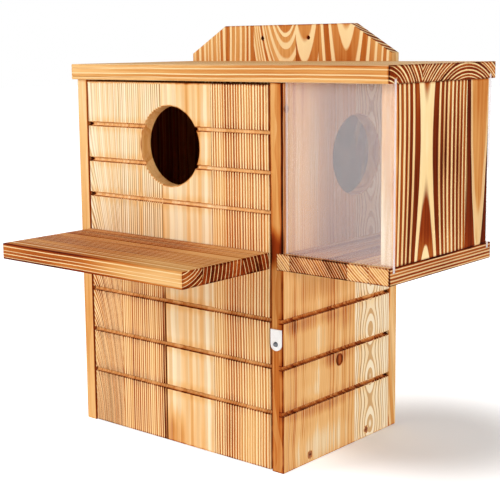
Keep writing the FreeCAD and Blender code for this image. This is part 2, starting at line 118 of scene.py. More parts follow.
def seen_rays(tree):
    """1 for rays that show a thing in the picture: straight, by reflection or through glass."""
    rays = add(tree, "ShaderNodeLightPath").outputs
    seen = calc(tree, "MAXIMUM", rays["Is Camera Ray"], rays["Is Glossy Ray"])
    return calc(tree, "MAXIMUM", seen, rays["Is Transmission Ray"])


def soft_lamp(title, place, aim, size, power):
    """A square lamp that looks at a point of the object."""
    lamp = bpy.data.lights.new(title, "AREA")
    lamp.size = size
    lamp.energy = power
    holder = bpy.data.objects.new(title, lamp)
    holder.location = place
    holder.rotation_euler = (Vector(aim) - Vector(place)).to_track_quat("-Z", "Y").to_euler()
    bpy.context.scene.collection.objects.link(holder)


OBJECT_MIDDLE = (0.05, -0.02, 0.2)
soft_lamp("key_lamp", (-1.35, -1.65, 1.2), OBJECT_MIDDLE, size=1.1, power=26.5)
soft_lamp("low_lamp", (-0.9, -2.0, 0.12), OBJECT_MIDDLE, size=0.8, power=6.0)
soft_lamp("side_lamp", (2.2, -0.9, 0.4), OBJECT_MIDDLE, size=0.7, power=24.5)
soft_lamp("back_lamp", (-0.6, 2.3, 0.7), OBJECT_MIDDLE, size=1.2, power=9.0)

WHITE = (1.0, 1.0, 1.0, 1.0)
SURROUND_STRENGTH = 0.45
surround = bpy.data.worlds.new("white_surround")
surround.use_nodes = True
surround_tree = surround.node_tree
surround_tree.nodes.clear()
strength = calc(surround_tree, "MULTIPLY_ADD", seen_rays(surround_tree),
                1.0 - SURROUND_STRENGTH, SURROUND_STRENGTH)
background = add(surround_tree, "ShaderNodeBackground", {"Color": WHITE, "Strength": strength})
add(surround_tree, "ShaderNodeOutputWorld", {"Surface": background.outputs[0]})
bpy.context.scene.world = surround

FLOOR_REACH = 8.0
FLOOR_COLOUR = (0.88, 0.88, 0.88, 1.0)
# Painted shadow: the floor's glow for camera rays is lower round a point to the right of and behind the
# base.
GLOW_IN_PAINTED_SHADOW = 0.1
GLOW_BEYOND_PAINTED_SHADOW = 0.7
PAINTED_SHADOW_MIDDLE = (0.18, 0.08, 0.0)
PAINTED_SHADOW_CORE = 0.05
PAINTED_SHADOW_EDGE = 0.18
floor_mesh = bpy.data.meshes.new("studio_floor")
floor_mesh.from_pydata(
    [(x * FLOOR_REACH, y * FLOOR_REACH, 0.0) for x, y in ((-1, -1), (1, -1), (1, 1), (-1, 1))],
    [], [(0, 1, 2, 3)],
)
floor = bpy.data.objects.new("studio_floor", floor_mesh)
bpy.context.scene.collection.objects.link(floor)
floor_with_painted_shadow, floor_tree, floor_inputs = new_material("floor_with_painted_shadow")
# The floor glows for camera rays so that it shows white, but less round that point, which paints a shadow
# there.
floor_place = add(floor_tree, "ShaderNodeTexCoord").outputs["Object"]
from_painted_shadow = add(floor_tree, "ShaderNodeVectorMath", {0: floor_place, 1: PAINTED_SHADOW_MIDDLE},
                 operation="DISTANCE").outputs["Value"]
glow_with_painted_shadow = add(floor_tree, "ShaderNodeMapRange", {
    "Value": from_painted_shadow, "From Min": PAINTED_SHADOW_CORE, "From Max": PAINTED_SHADOW_EDGE,
    "To Min": GLOW_IN_PAINTED_SHADOW, "To Max": GLOW_BEYOND_PAINTED_SHADOW}, interpolation_type="SMOOTHSTEP").outputs["Result"]
feed_all(floor_tree, floor_inputs, {
    "Base Color": FLOOR_COLOUR, "Roughness": 0.9, "Emission Color": WHITE,
    "Emission Strength": calc(floor_tree, "MULTIPLY", seen_rays(floor_tree), glow_with_painted_shadow)})
floor_mesh.materials.append(floor_with_painted_shadow)


# The right side panel is glued from two upright strips of fir, torched and brushed, so
# that the soft wood between the rings is scorched and the hard rings stay cream. It is
# grooved below the feeder, and a passage is bored through it into the bin.
MM = 0.001
UPRIGHT_RIGHT = (0.0, 0.0, math.radians(-90.0))


def group(title, inputs, outputs, kind="ShaderNodeTree"):
    """An empty node group with its named sockets, and its two end nodes' sockets."""
    tree = bpy.data.node_groups.new(title, kind)
    for way, sockets in (("INPUT", inputs), ("OUTPUT", outputs)):
        for name, holds in sockets:
            tree.interface.new_socket(name, in_out=way, socket_type="NodeSocket" + holds)
    return tree, add(tree, "NodeGroupInput").outputs, add(tree, "NodeGroupOutput").inputs


def vector_calc(tree, operation, first, second):
    """One sum of two vectors."""
    return add(tree, "ShaderNodeVectorMath", {0: first, 1: second}, operation=operation).outputs[0]


def length(tree, vector):
    """How long a vector is."""
    return add(tree, "ShaderNodeVectorMath", {0: vector}, operation="LENGTH").outputs["Value"]


def split(tree, vector):
    """The three numbers of a vector."""
    return add(tree, "ShaderNodeSeparateXYZ", {0: vector}).outputs


def fade_in(tree, value, start, end):
    """0 before start, 1 after end, smooth between them."""
    return add(tree, "ShaderNodeMapRange",
               {"Value": value, "From Min": start, "From Max": end},
               interpolation_type="SMOOTHSTEP").outputs["Result"]


def fade_out(tree, value, start, end):
    """1 before start, 0 after end, smooth between them."""
    return calc(tree, "SUBTRACT", 1.0, fade_in(tree, value, start, end))


def swung(tree, value, chance, amount):
    """A number moved either way by a chance between 0 and 1."""
    return calc(tree, "MULTIPLY_ADD", calc(tree, "SUBTRACT", chance, 0.5), amount, value)


def stretched_noise(tree, vector, scale, seed, detail=2.0):
    """Noise whose features are as long in each direction as scale says, in counts per metre."""
    return add(tree, "ShaderNodeTexNoise",
               {"Vector": vector_calc(tree, "MULTIPLY", vector, scale), "W": seed, "Scale": 1.0,
                "Detail": detail}, noise_dimensions="4D").outputs


def blended(tree, factor, first, second):
    """A colour between two."""
    return add(tree, "ShaderNodeMix", {0: factor, 6: first, 7: second}, data_type="RGBA").outputs[2]


def linear(red, green, blue):
    """A colour as it is seen, 0 to 255, in the renderer's own units."""
    seen = Color((red / 255.0, green / 255.0, blue / 255.0))
    return (*seen.from_srgb_to_scene_linear(), 1.0)


# Growth rings round a pith line. X runs across the board, Y into it, Z along the grain.
# Each ring ends in a hard line, whose width is a share of the ring's.
SWAY_SCALE = (5.0, 5.0, 9.0)
RIPPLE_SCALE = (90.0, 90.0, 14.0)
RIPPLE_HEIGHT = 0.8 * MM
FINE_FIBRES = (650.0, 650.0, 16.0)
COARSE_FIBRES = (210.0, 210.0, 5.0)
BROAD_STREAKS = (26.0, 26.0, 5.0)
UNEVEN_PACE = 0.45
UNEVEN_SHIFT = 7.3
RING_SHIFT = 31.7
LINE_LEAST = 0.7
LINE_SPREAD = 0.6
LINE_RISE = 0.7
LINE_FALL = 0.95
HEART_BLEND = 0.12
rings, given, result = group(
    "fir_rings",
    [("Vector", "Vector"), ("Pith", "Vector"), ("Drift", "Vector"), ("Bow", "Vector"),
     ("Tone", "Vector"), ("Habit", "Vector"), ("Heart", "Vector")],
    [("Latewood", "Float"), ("Ring", "Float"), ("Fibre", "Float"), ("Broad", "Float"),
     ("Heart", "Float")],
)
across, deep, along = split(rings, given["Vector"])
pith_across, pith_deep, ring_width = split(rings, given["Pith"])
drift_across, drift_deep, wander = split(rings, given["Drift"])
bow, bow_middle, line_share = split(rings, given["Bow"])
_, contrast, seed = split(rings, given["Tone"])
unevenness, wave, wave_number = split(rings, given["Habit"])
heart_rings, heart_torch, heart_calm = split(rings, given["Heart"])
sway = add(rings, "ShaderNodeSeparateColor",
           {0: stretched_noise(rings, given["Vector"], SWAY_SCALE, seed)["Color"]}).outputs
off_across = calc(rings, "SUBTRACT", across, pith_across)
off_across = calc(rings, "SUBTRACT", off_across, calc(rings, "MULTIPLY", along, drift_across))
off_across = swung(rings, off_across, sway["Red"], wander)
from_bow = calc(rings, "SUBTRACT", along, bow_middle)
bowed = calc(rings, "MULTIPLY", calc(rings, "MULTIPLY", from_bow, from_bow), bow)
off_deep = calc(rings, "SUBTRACT", deep, pith_deep)
off_deep = calc(rings, "SUBTRACT", off_deep, calc(rings, "MULTIPLY", along, drift_deep))
off_deep = calc(rings, "SUBTRACT", off_deep, bowed)
waving = calc(rings, "SINE", calc(rings, "MULTIPLY", along, wave_number))
off_deep = calc(rings, "MULTIPLY_ADD", waving, wave, off_deep)
off_deep = swung(rings, off_deep, sway["Green"], wander)
distance = calc(rings, "SQRT", calc(
    rings, "MULTIPLY_ADD", off_across, off_across, calc(rings, "MULTIPLY", off_deep, off_deep)))
ripple = stretched_noise(rings, given["Vector"], RIPPLE_SCALE, seed)["Fac"]
count = calc(rings, "DIVIDE", swung(rings, distance, ripple, RIPPLE_HEIGHT), ring_width)
uneven = add(rings, "ShaderNodeTexNoise", {
    "W": calc(rings, "MULTIPLY_ADD", count, UNEVEN_PACE, calc(rings, "MULTIPLY", seed, UNEVEN_SHIFT)),
    "Scale": 1.0, "Detail": 0.0}, noise_dimensions="1D").outputs["Fac"]
count = swung(rings, count, uneven, unevenness)
phase = calc(rings, "FRACT", count)
ring_mark = calc(rings, "MULTIPLY_ADD", seed, RING_SHIFT, calc(rings, "FLOOR", count))
chance = add(rings, "ShaderNodeTexWhiteNoise", {"W": ring_mark}, noise_dimensions="1D").outputs["Value"]
line_chance = add(rings, "ShaderNodeTexWhiteNoise", {"W": calc(rings, "ADD", ring_mark, 0.5)},
                  noise_dimensions="1D").outputs["Value"]
share = calc(rings, "MULTIPLY", line_share, calc(
    rings, "MULTIPLY_ADD", line_chance, LINE_SPREAD, LINE_LEAST))
rise_start = calc(rings, "SUBTRACT", 1.0, share)
rise_end = calc(rings, "SUBTRACT", 1.0, calc(rings, "MULTIPLY", share, LINE_RISE))
rise = fade_in(rings, phase, rise_start, rise_end)
line = calc(rings, "MULTIPLY", rise, fade_out(rings, phase, LINE_FALL, 1.0))
in_heart = fade_out(rings, count, calc(rings, "SUBTRACT", heart_rings, HEART_BLEND), heart_rings)
calmed = calc(rings, "SUBTRACT", 1.0, calc(rings, "MULTIPLY", in_heart, heart_calm))
line = calc(rings, "MULTIPLY", line, calmed)
fine = stretched_noise(rings, given["Vector"], FINE_FIBRES, seed)["Fac"]
coarse = stretched_noise(rings, given["Vector"], COARSE_FIBRES, seed)["Fac"]
feed_all(rings, result, {
    "Latewood": calc(rings, "MULTIPLY", line, contrast),
    "Heart": calc(rings, "MULTIPLY", in_heart, heart_torch),
    "Ring": chance,
    "Fibre": calc(rings, "MULTIPLY_ADD", fine, 0.5, calc(rings, "MULTIPLY", coarse, 0.5)),
    "Broad": stretched_noise(rings, given["Vector"], BROAD_STREAKS, seed)["Fac"],
})

# The torch turns soft wood from cream through honey to a dark red brown, and leaves
# the hard rings cream where it burns deepest.
tones, given, result = group(
    "torched_tones",
    [("Torch", "Float"), ("Latewood", "Float"), ("Ring", "Float"), ("Fibre", "Float"),
     ("Broad", "Float")],
    [("Color", "Color"), ("Roughness", "Float"), ("Height", "Float")],
)
SOFT_WOOD = (
    (0.0, linear(252, 236, 204)), (0.15, linear(249, 222, 176)), (0.3, linear(240, 190, 126)),
    (0.45, linear(219, 155, 86)), (0.6, linear(192, 108, 43)), (0.75, linear(142, 53, 14)),
    (0.9, linear(92, 26, 4)), (1.0, linear(44, 10, 2)),
)
HARD_WOOD = (
    (0.0, linear(208, 158, 96)), (0.15, linear(168, 108, 50)), (0.27, linear(196, 136, 72)),
    (0.38, linear(249, 216, 160)), (0.6, linear(253, 226, 172)), (0.8, linear(249, 212, 150)),
    (0.92, linear(228, 168, 104)), (1.0, linear(150, 90, 50)),
)


def tone_ramp(tree, value, stops):
    """A colour that follows a number through a row of tones."""
    node = add(tree, "ShaderNodeValToRGB", {0: value})
    marks = node.color_ramp.elements
    while len(marks) < len(stops):
        marks.new(0.5)
    for mark, (place, colour) in zip(marks, stops):
        mark.position = place
        mark.color = colour
    return node.outputs["Color"]


RING_SPREAD = 0.2
BROAD_SPREAD = 0.5
FIBRE_SPREAD = 0.45
SOFT_ROUGHNESS = 0.62
HARD_POLISH = -0.1
FIBRE_HEIGHT = 0.35
LATEWOOD_HEIGHT = 0.65
torch = swung(tones, given["Torch"], given["Ring"], RING_SPREAD)
torch = swung(tones, torch, given["Broad"], BROAD_SPREAD)
torch = swung(tones, torch, given["Fibre"], FIBRE_SPREAD)
torch = calc(tones, "MAXIMUM", torch, 0.0)
feed_all(tones, result, {
    "Color": blended(tones, given["Latewood"], tone_ramp(tones, torch, SOFT_WOOD),
                     tone_ramp(tones, torch, HARD_WOOD)),
    "Roughness": calc(tones, "MULTIPLY_ADD", given["Latewood"], HARD_POLISH, SOFT_ROUGHNESS),
    "Height": calc(tones, "MULTIPLY_ADD", given["Fibre"], FIBRE_HEIGHT, calc(
        tones, "MULTIPLY", given["Latewood"], LATEWOOD_HEIGHT)),
})

# The torch bites most along a board's arrises.
ARRIS_PATCHES = (60.0, 60.0, 60.0)
ARRIS_RAGGED = 1.6 * MM
arris, given, result = group(
    "arris_scorch", [("Vector", "Vector"), ("Low", "Vector"), ("High", "Vector"), ("Width", "Float")],
    [("Darkening", "Float")])
from_low = vector_calc(arris, "SUBTRACT", given["Vector"], given["Low"])
from_high = vector_calc(arris, "SUBTRACT", given["High"], given["Vector"])
nearest = split(arris, vector_calc(arris, "MINIMUM", from_low, from_high))
least = calc(arris, "MINIMUM", nearest[0], nearest[1])
most = calc(arris, "MAXIMUM", nearest[0], nearest[1])
to_arris = calc(arris, "MAXIMUM", least, calc(arris, "MINIMUM", most, nearest[2]))
patchy = stretched_noise(arris, given["Vector"], ARRIS_PATCHES, seed=3.0)["Fac"]
to_arris = swung(arris, to_arris, patchy, ARRIS_RAGGED)
feed(arris, result["Darkening"], fade_out(arris, to_arris, 0.0, given["Width"]))

# A groove is burnt dark along both its rims, the lower one most, and its floor is a
# plain reddish tan. Three lie one above the other.
GROOVE_COUNT = 3
GROOVE_HALF_HEIGHT = 2.0 * MM
GROOVE_REACH = (4.0 * MM, 5.0 * MM)
GROOVE_WALL = (0.4 * MM, 1.2 * MM)
GROOVE_MARGIN = 0.2 * MM
RIM_BLUR = (0.1 * MM, 0.7 * MM)
HALO_BLUR = (0.0, 9.0 * MM)
UPPER_RIM = 0.7
LOWER_RIM = 1.0
groove, given, result = group(
    "groove_scorch",
    [("Vector", "Vector"), ("Lowest", "Float"), ("Pitch", "Float"), ("Half Height", "Float"),
     ("Face", "Float")],
    [("Darkening", "Float"), ("Calm", "Float"), ("Halo", "Float")])
_, deep, along = split(groove, given["Vector"])
above = calc(groove, "SUBTRACT", along, given["Lowest"])
nearest = calc(groove, "ROUND", calc(groove, "DIVIDE", above, given["Pitch"]))
nearest = calc(groove, "MINIMUM", calc(groove, "MAXIMUM", nearest, 0.0), GROOVE_COUNT - 1.0)
signed = calc(groove, "SUBTRACT", above, calc(groove, "MULTIPLY", nearest, given["Pitch"]))
away = calc(groove, "ABSOLUTE", signed)
from_rim = calc(groove, "ABSOLUTE", calc(groove, "SUBTRACT", away, given["Half Height"]))
sunk = calc(groove, "SUBTRACT", deep, given["Face"])
outer = fade_out(groove, sunk, *GROOVE_REACH)
rim = calc(groove, "MULTIPLY", fade_out(groove, from_rim, *RIM_BLUR), outer)
rim = calc(groove, "MULTIPLY", rim, calc(
    groove, "MULTIPLY_ADD", calc(groove, "LESS_THAN", signed, 0.0), LOWER_RIM - UPPER_RIM, UPPER_RIM))
inside = calc(groove, "MULTIPLY", fade_in(groove, sunk, *GROOVE_WALL), calc(
    groove, "LESS_THAN", away, calc(groove, "ADD", given["Half Height"], GROOVE_MARGIN)))
halo = fade_out(groove, from_rim, *HALO_BLUR)
feed_all(groove, result, {
    "Darkening": rim, "Calm": calc(groove, "MULTIPLY", inside, outer),
    "Halo": calc(groove, "MULTIPLY", halo, outer)})

# A patch is a soft edged place that is darker or lighter: where the torch stayed longer or passed faster,
# and in some places painted shade.
RAGGED_SCALE = (120.0, 120.0, 12.0)
RAGGED_SHARE = 0.5
PATCH_CORE = 0.25
patch_tree, given, result = group(
    "torch_and_painted_shade_patch", [("Vector", "Vector"), ("Centre", "Vector"), ("Reach", "Vector")],
    [("Darkening", "Float")])
to_patch = vector_calc(patch_tree, "SUBTRACT", given["Vector"], given["Centre"])
to_patch = length(patch_tree, vector_calc(patch_tree, "DIVIDE", to_patch, given["Reach"]))
ragged = stretched_noise(patch_tree, given["Vector"], RAGGED_SCALE, seed=5.0)["Fac"]
to_patch = swung(patch_tree, to_patch, ragged, RAGGED_SHARE)
feed(patch_tree, result["Darkening"], fade_out(patch_tree, to_patch, PATCH_CORE, 1.0))

# A knot is a dark round plug with a darker rim, a little longer than it is wide.
KNOT_SQUASH = (1.0, 0.0, 0.88)
PLUG_EDGE = (0.85, 1.1)
PLUG_RIM = (0.4, 0.9)
knot, given, result = group(
    "knot_scorch", [("Vector", "Vector"), ("Centre", "Vector"), ("Radius", "Float")],
    [("Darkening", "Float"), ("Calm", "Float")])
to_knot = vector_calc(knot, "SUBTRACT", given["Vector"], given["Centre"])
to_knot = length(knot, vector_calc(knot, "MULTIPLY", to_knot, KNOT_SQUASH))
relative = calc(knot, "DIVIDE", to_knot, given["Radius"])
plug = fade_out(knot, relative, *PLUG_EDGE)
feed_all(knot, result, {
    "Darkening": calc(knot, "MULTIPLY", plug, fade_in(knot, relative, *PLUG_RIM)), "Calm": plug})

# A bored hole has a burnt rim on the face and a plain smooth wall.
IN_FACE = (1.0, 0.0, 1.0)
BORE_RIM_START = 0.2 * MM
BORE_WALL_END = 0.3 * MM
bore, given, result = group(
    "bore_scorch", [("Vector", "Vector"), ("Centre", "Vector"), ("Radius", "Float"), ("Rim", "Float")],
    [("Darkening", "Float"), ("Calm", "Float")])
to_axis = vector_calc(bore, "SUBTRACT", given["Vector"], given["Centre"])
to_axis = length(bore, vector_calc(bore, "MULTIPLY", to_axis, IN_FACE))
beyond = calc(bore, "SUBTRACT", to_axis, given["Radius"])
bore_rim = fade_out(bore, beyond, BORE_RIM_START, given["Rim"])
wall = fade_out(bore, beyond, 0.0, BORE_WALL_END)
feed_all(bore, result, {
    "Darkening": calc(bore, "MULTIPLY", calc(bore, "SUBTRACT", 1.0, wall), bore_rim), "Calm": wall})


def strip(until, pith, ring, line=0.3, torch=0.3, contrast=1.0, drift=(0.0, 0.0), wander=6.0,
          bow=(0.0, 0.0), wave=(0.0, 50.0), uneven=0.6, heart=(-1.0, 0.0, 0.0), seed=1.0):
    """One glued strip of a board, up to a seam: its pith, ring width and torching, in millimetres.

    drift is how far the pith moves across and into the board in each millimetre of its length,
    and heart is how many rings about the pith burnt otherwise, by how much, and how plain they are."""
    return until * MM, (
        (pith[0] * MM, pith[1] * MM, ring * MM),
        (drift[0], drift[1], wander * MM),
        (bow[0] / MM, bow[1] * MM, line),
        (torch, contrast, seed),
        (uneven, wave[0] * MM, math.tau / (wave[1] * MM)),
        heart,
    )


SEAM_BLUR = (0.1 * MM, 0.6 * MM)
SEAM_SCORCH = 0.16


def glued(tree, across, strips):
    """The growth of the strip at each place across a board, and the scorch of its seams."""
    growth = strips[0][1]
    darkening = 0.0
    for (seam, _), (_, following) in zip(strips, strips[1:]):
        past = calc(tree, "GREATER_THAN", across, seam)
        growth = [
            add(tree, "ShaderNodeMix", {0: past, 4: before, 5: after}, data_type="VECTOR").outputs[1]
            for before, after in zip(growth, following)
        ]
        gap = calc(tree, "ABSOLUTE", calc(tree, "SUBTRACT", across, seam))
        darkening = calc(tree, "MULTIPLY_ADD", fade_out(tree, gap, *SEAM_BLUR), SEAM_SCORCH, darkening)
    return growth, darkening


HALO_SCORCH = 0.1
CALM_SHARE = 0.85


def marked(tree, vector, torch, latewood, marks):
    """How deep a board is burnt, with the painted shade that some marks add, and how far its rings show,
    after all its marks.
    """
    for inner, mark_inputs, dark_level, plain in marks:
        mark = add(tree, "ShaderNodeGroup", None, node_tree=inner)
        feed_all(tree, mark.inputs, dict(mark_inputs, Vector=vector))
        darkening = mark.outputs["Darkening"]
        if "Halo" in mark.outputs:
            torch = calc(tree, "MULTIPLY_ADD", mark.outputs["Halo"], HALO_SCORCH, torch)
        if "Calm" in mark.outputs:
            for level, mask in ((plain, mark.outputs["Calm"]), (dark_level, darkening)):
                torch = calc(tree, "MULTIPLY_ADD", calc(tree, "SUBTRACT", level, torch), mask, torch)
            bare = calc(tree, "MULTIPLY_ADD", mark.outputs["Calm"], -CALM_SHARE, 1.0)
        else:
            torch = calc(tree, "MULTIPLY_ADD", darkening, dark_level, torch)
            bare = calc(tree, "MULTIPLY_ADD", darkening, -plain, 1.0)
        latewood = calc(tree, "MULTIPLY", latewood, bare)
    return torch, latewood


END_GRAIN = (0.5, 0.8)
GRAIN_HEIGHT = 0.25 * MM


def fir(title, turn, strips, end_torch=0.25, marks=()):
    """Torched fir, in strips across a board that is turned so that its grain lies along Z.

    Each mark is a group, its inputs and two numbers: how dark its marked and its plain part are,
    or, for a group without a plain part, how much darker it gets, by burning or by painted shade, and how
    far its rings fade."""
    material, tree, inputs = new_material(title)
    coordinates = add(tree, "ShaderNodeTexCoord").outputs
    vector, normal = [
        add(tree, "ShaderNodeMapping", {"Vector": coordinates[name], "Rotation": turn}).outputs[0]
        for name in ("Object", "Normal")
    ]
    growth, torch = glued(tree, split(tree, vector)[0], strips)
    growth = dict(zip(("Pith", "Drift", "Bow", "Tone", "Habit", "Heart"), growth))
    grain = add(tree, "ShaderNodeGroup", None, node_tree=rings)
    feed_all(tree, grain.inputs, dict(growth, Vector=vector))
    torch = calc(tree, "ADD", torch, split(tree, growth["Tone"])[0])
    torch = calc(tree, "ADD", torch, grain.outputs["Heart"])
    end_grain = fade_in(tree, calc(tree, "ABSOLUTE", split(tree, normal)[2]), *END_GRAIN)
    torch = calc(tree, "MULTIPLY_ADD", end_grain, end_torch, torch)
    torch, latewood = marked(tree, vector, torch, grain.outputs["Latewood"], marks)
    tone = add(tree, "ShaderNodeGroup", None, node_tree=tones)
    feed_all(tree, tone.inputs, {"Torch": torch, "Latewood": latewood})
    feed_all(tree, tone.inputs, {name: grain.outputs[name] for name in ("Ring", "Fibre", "Broad")})
    relief = add(tree, "ShaderNodeBump", {
        "Height": tone.outputs["Height"], "Strength": 0.6, "Distance": GRAIN_HEIGHT})
    feed_all(tree, inputs, {
        "Specular IOR Level": 0.02, "Base Color": tone.outputs["Color"],
        "Roughness": tone.outputs["Roughness"], "Normal": relief.outputs[0]})
    return material


ARRIS_CALM = 0.4


def arrises(node, turn, amount, width=2.2):
    """The scorch along the arrises of a board, in the board's own directions."""
    corners = [Euler(turn).to_matrix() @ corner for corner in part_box(node)]
    low = tuple(min(pair) for pair in zip(*corners))
    high = tuple(max(pair) for pair in zip(*corners))
    return arris, {"Low": low, "High": high, "Width": width * MM}, amount, ARRIS_CALM


def grooves(rows, face, level, floor_level):
    """The scorch of evenly spaced grooves in a face."""
    lowest, pitch = rows
    return groove, {"Lowest": lowest * MM, "Pitch": pitch * MM, "Half Height": GROOVE_HALF_HEIGHT,
                    "Face": face * MM}, level, floor_level


def patch(across, along, wide, tall, amount, deep=0.0, thick=400.0, calm=0.0):
    """A place in a board that is burnt more or less, or darkened by painted shade, with its half sizes, in
    millimetres.

    calm is how far the rings fade there. Below zero they stand out more."""
    return patch_tree, {"Centre": (across * MM, deep * MM, along * MM),
                        "Reach": (wide * MM, thick * MM, tall * MM)}, amount, calm


def painted_shade_at_groove_ends(rows, across, wide, tall, amount, deep, thick):
    """Painted shade at the end of each of some evenly spaced grooves, where it runs into a shaded corner
    or gap.
    """
    lowest, pitch = rows
    return [patch(across, lowest + number * pitch, wide, tall, amount, deep, thick)
            for number in range(GROOVE_COUNT)]


def bored(across, along, radius, level=0.62, rim=1.6, wall_level=0.42):
    """The burnt rim and the plain wall of a round hole through a board's faces."""
    return bore, {"Centre": (across * MM, 0.0, along * MM), "Radius": radius * MM,
                  "Rim": rim * MM}, level, wall_level


def finish(node, material):
    """Gives a board or fitting of the frame its material."""
    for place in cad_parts[node].material_slots:
        place.material = material


LOWER_GROOVES = (55.0, 42.5)
SIDE_FACE = -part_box("right_side_panel")[1].x / MM
SIDE_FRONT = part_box("right_side_panel")[0].y / MM
HOLE_RADIUS = 37.5
PASSAGE = (21.0, 279.5)
SIDE_KNOT = {"Centre": (-5.8 * MM, SIDE_FACE * MM, 88.0 * MM), "Radius": 5.4 * MM}
SKIN = 1.6
SCREW_HEAD = 3.0
FLOOR_SCREWS = ((-52.0, 7.5), (39.0, 7.5))
finish("right_side_panel", fir(
    "right_side_fir", UPRIGHT_RIGHT,
    [
        strip(19.3, (90.0, -60.0), 2.0, line=0.45, torch=0.4, contrast=0.45, wander=14.0, uneven=0.9,
              seed=2.0),
        strip(92.0, (45.0, -117.0), 3.0, line=0.45, torch=0.04, contrast=0.85, wander=3.0,
              wave=(1.7, 48.0), seed=3.0),
    ],
    marks=[
        arrises("right_side_panel", UPRIGHT_RIGHT, 0.36, width=1.7),
        patch(SIDE_FRONT, 175.0, 3.0, 600.0, 0.14, calm=1.05),
        patch(SIDE_FRONT, 350.0, 6.0, 110.0, -0.03),
        patch(-36.0, 14.0, 64.0, 26.0, -0.24),
        patch(-36.0, 162.0, 60.0, 20.0, 0.14),
        # Painted shadow on the panel's front edge by the feeder floor.
        patch(SIDE_FRONT, 205.0, 6.0, 22.0, 0.3),
        patch(-36.0, 110.0, 13.0, 70.0, -0.14),
        patch(-76.0, 90.0, 10.0, 100.0, 0.06),
        patch(-34.0, 48.0, 60.0, 9.0, 0.18),
        patch(-14.0, 90.0, 40.0, 10.0, 0.2),
        patch(-44.0, 132.0, 60.0, 10.0, 0.2),
        patch(-88.5, 280.0, 7.0, 130.0, 0.3, deep=SIDE_FACE, thick=SKIN),
        patch(-50.0, 68.0, 24.0, 12.0, -0.1),
        patch(0.0, 128.0, 26.0, 18.0, 0.16),
        patch(-78.0, 132.0, 14.0, 14.0, 0.14),
        patch(-20.0, 290.0, 90.0, 80.0, -0.12),
        grooves(LOWER_GROOVES, SIDE_FACE, level=0.87, floor_level=0.63),
        (knot, SIDE_KNOT, 0.94, 0.84),
        bored(*PASSAGE, HOLE_RADIUS),
    ] + [bored(*place, SCREW_HEAD, level=0.8) for place in FLOOR_SCREWS]
    # Painted shade where the lower grooves end against the back panel.
    + painted_shade_at_groove_ends(LOWER_GROOVES, 76.5, 6.0, 2.4, 0.7, deep=SIDE_FACE + 2.5, thick=4.0),
))

# The left side panel is glued from three strips and is plain outside. Its inner face
# is darkened with painted shade, for the dark inside of the nest, so that its rings hardly show.
UPRIGHT_LEFT = (0.0, 0.0, math.radians(90.0))
LEFT_INNER_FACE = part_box("left_side_panel")[1].x / MM
finish("left_side_panel", fir(
    "left_side_fir", UPRIGHT_LEFT,
    [
        strip(-30.0, (-60.0, -98.0), 4.0, line=0.4, torch=0.3, seed=4.0),
        strip(32.0, (-70.0, -60.0), 3.2, line=0.45, torch=0.42, seed=5.0),
        strip(92.0, (50.0, -108.0), 3.6, line=0.45, torch=0.24, wander=10.0, wave=(1.5, 60.0),
              seed=6.0),
    ],
    marks=[
        arrises("left_side_panel", UPRIGHT_LEFT, 0.08),
        patch(-SIDE_FRONT, 175.0, 3.0, 600.0, 0.04, calm=1.0),
        # Painted shade: the inner face is darkened as the nest's shaded inside.
        patch(0.0, 175.0, 400.0, 700.0, 0.4, deep=LEFT_INNER_FACE, thick=1.2, calm=0.9),
    ] + [bored(-across, along, SCREW_HEAD, level=0.8) for across, along in FLOOR_SCREWS],
))

# The back panel stands up behind the roof, where its corners are sawn off and two
# holes are bored for hanging it.
UPRIGHT_FRONT = (0.0, 0.0, 0.0)
BACK_INNER_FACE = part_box("back_panel")[0].y / MM
HANGING_HOLES = ((-30.0, 388.5), (30.0, 388.5))
HANGING_RADIUS = 2.0
finish("back_panel", fir(
    "back_fir", UPRIGHT_FRONT,
    [
        strip(-81.0, (-170.0, 95.0), 6.0, line=0.5, torch=0.44, uneven=0.9, seed=7.0),
        strip(-42.0, (-200.0, 90.0), 7.0, line=0.4, torch=0.54, wander=8.0, uneven=0.8, seed=8.0),
        strip(14.0, (0.0, 193.8), 3.2, line=0.5, torch=0.5, drift=(0.0, -0.23), wander=4.0, seed=9.0),
        strip(43.0, (26.0, 150.0), 7.0, line=0.45, torch=0.56, drift=(0.0, -0.14), wander=8.0,
              seed=10.0),
        strip(132.0, (76.0, 145.9), 6.5, line=0.42, torch=0.52, drift=(0.0, -0.11), wander=5.0,
              seed=11.0),
    ],
    marks=[
        arrises("back_panel", UPRIGHT_FRONT, 0.12),
        patch(-97.0, 380.0, 6.0, 60.0, -0.16),
        patch(131.0, 175.0, 3.0, 400.0, -0.16, calm=0.6),
        # Painted shade: the inner face is darkened as the nest's shaded inside.
        patch(0.0, 215.0, 250.0, 165.0, 0.55, deep=BACK_INNER_FACE, thick=4.0, calm=0.95),
    ] + [bored(*place, HANGING_RADIUS, level=0.7, wall_level=0.8) for place in HANGING_HOLES],
))

# The nest floor lies between the side panels, screwed through them. The torch only
# brushed it, because it lies inside the box.
LYING_ACROSS = (math.radians(-90.0), math.radians(-90.0), 0.0)
finish("nest_floor", fir(
    "nest_floor_fir", LYING_ACROSS,
    [
        strip(-20.0, (-40.0, -20.0), 4.0, torch=0.2, contrast=0.7, seed=12.0),
        strip(40.0, (60.0, 30.0), 3.5, torch=0.25, contrast=0.7, seed=13.0),
        strip(92.0, (60.0, -15.0), 4.0, torch=0.2, contrast=0.7, seed=14.0),
    ],
))

